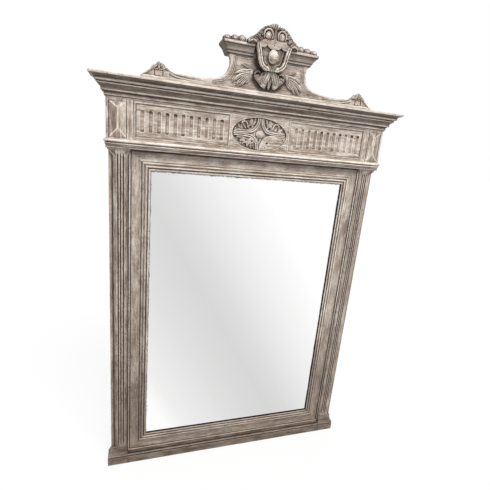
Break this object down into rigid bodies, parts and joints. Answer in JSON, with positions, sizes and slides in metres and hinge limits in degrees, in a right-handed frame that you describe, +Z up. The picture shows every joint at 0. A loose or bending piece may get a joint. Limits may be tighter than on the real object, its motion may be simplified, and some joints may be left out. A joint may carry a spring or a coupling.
{
  "type": "trumeau mirror",
  "caption": "Tall overmantel mirror in a limed-oak frame with fluted pilasters, a fluted frieze with an oval rosette, a moulded cornice and a carved crest.",
  "frame": {"origin": "centre of the bounding box's bottom: under the plinth, half way across and half way back", "axes": "+Z up, +Y from the front to the back, +X to the viewer's right when facing the mirror"},
  "size_m": [1.24, 0.1502, 1.882],
  "materials": {
    "limed_oak": "limed and waxed, with dark wax in the recesses",
    "carved_oak": "limed and waxed carving, with dark wax in the recesses",
    "back_pine": "bare wood, aged",
    "mirror_silvering": "old silvered glass with foxed edges",
    "hanger_iron": "bare and darkened",
    "screw_brass": "dull"
  },
  "bodies": {
    "frame": {"left_plinth_block": "limed_oak", "right_plinth_block": "limed_oak", "plinth_board": "limed_oak", "bottom_rail": "back_pine", "left_stile": "limed_oak", "right_stile": "limed_oak", "top_rail": "back_pine", "left_frame_board": "limed_oak", "right_frame_board": "limed_oak", "top_frame_board": "limed_oak", "bottom_frame_board": "limed_oak", "mirror_glass": "mirror_silvering", "left_glass_batten": "back_pine", "right_glass_batten": "back_pine", "top_glass_batten": "back_pine", "bottom_glass_batten": "back_pine", "left_backboard": "back_pine", "middle_backboard": "back_pine", "right_backboard": "back_pine", "upper_back_batten": "back_pine", "lower_back_batten": "back_pine", "left_pilaster": "limed_oak", "right_pilaster": "limed_oak", "left_capital": "limed_oak", "right_capital": "limed_oak", "architrave": "limed_oak", "left_architrave_return": "limed_oak", "right_architrave_return": "limed_oak", "left_corner_block": "limed_oak", "right_corner_block": "limed_oak", "frieze_board": "limed_oak", "left_fluted_panel": "limed_oak", "right_fluted_panel": "limed_oak", "frieze_rosette": "carved_oak", "cornice": "limed_oak", "left_cornice_return": "limed_oak", "right_cornice_return": "limed_oak", "crest_base": "limed_oak", "crest_board": "limed_oak", "left_acroterion": "carved_oak", "right_acroterion": "carved_oak", "left_crest_cap": "limed_oak", "right_crest_cap": "limed_oak", "left_cap_cresting": "carved_oak", "right_cap_cresting": "carved_oak", "cartouche_shield": "carved_oak", "cartouche_boss": "carved_oak", "cartouche_crown": "carved_oak", "cartouche_acanthus": "carved_oak", "left_leaf_spray": "carved_oak", "right_leaf_spray": "carved_oak", "left_ring_strap": "hanger_iron", "right_ring_strap": "hanger_iron", "left_strap_screw_1": "screw_brass", "left_strap_screw_2": "screw_brass", "right_strap_screw_1": "screw_brass", "right_strap_screw_2": "screw_brass"},
    "left_ring": {"left_hanging_ring": "hanger_iron"},
    "right_ring": {"right_hanging_ring": "hanger_iron"}
  },
  "joints": [
    {"name": "left_ring_hinge", "type": "hinge", "parent": "frame", "child": "left_ring", "pos_m": [-0.529, 0.06395, 1.29], "axis": [1, 0, 0], "range_deg": [0, 140]},
    {"name": "right_ring_hinge", "type": "hinge", "parent": "frame", "child": "right_ring", "pos_m": [0.529, 0.06395, 1.29], "axis": [1, 0, 0], "range_deg": [0, 140]}
  ]
}
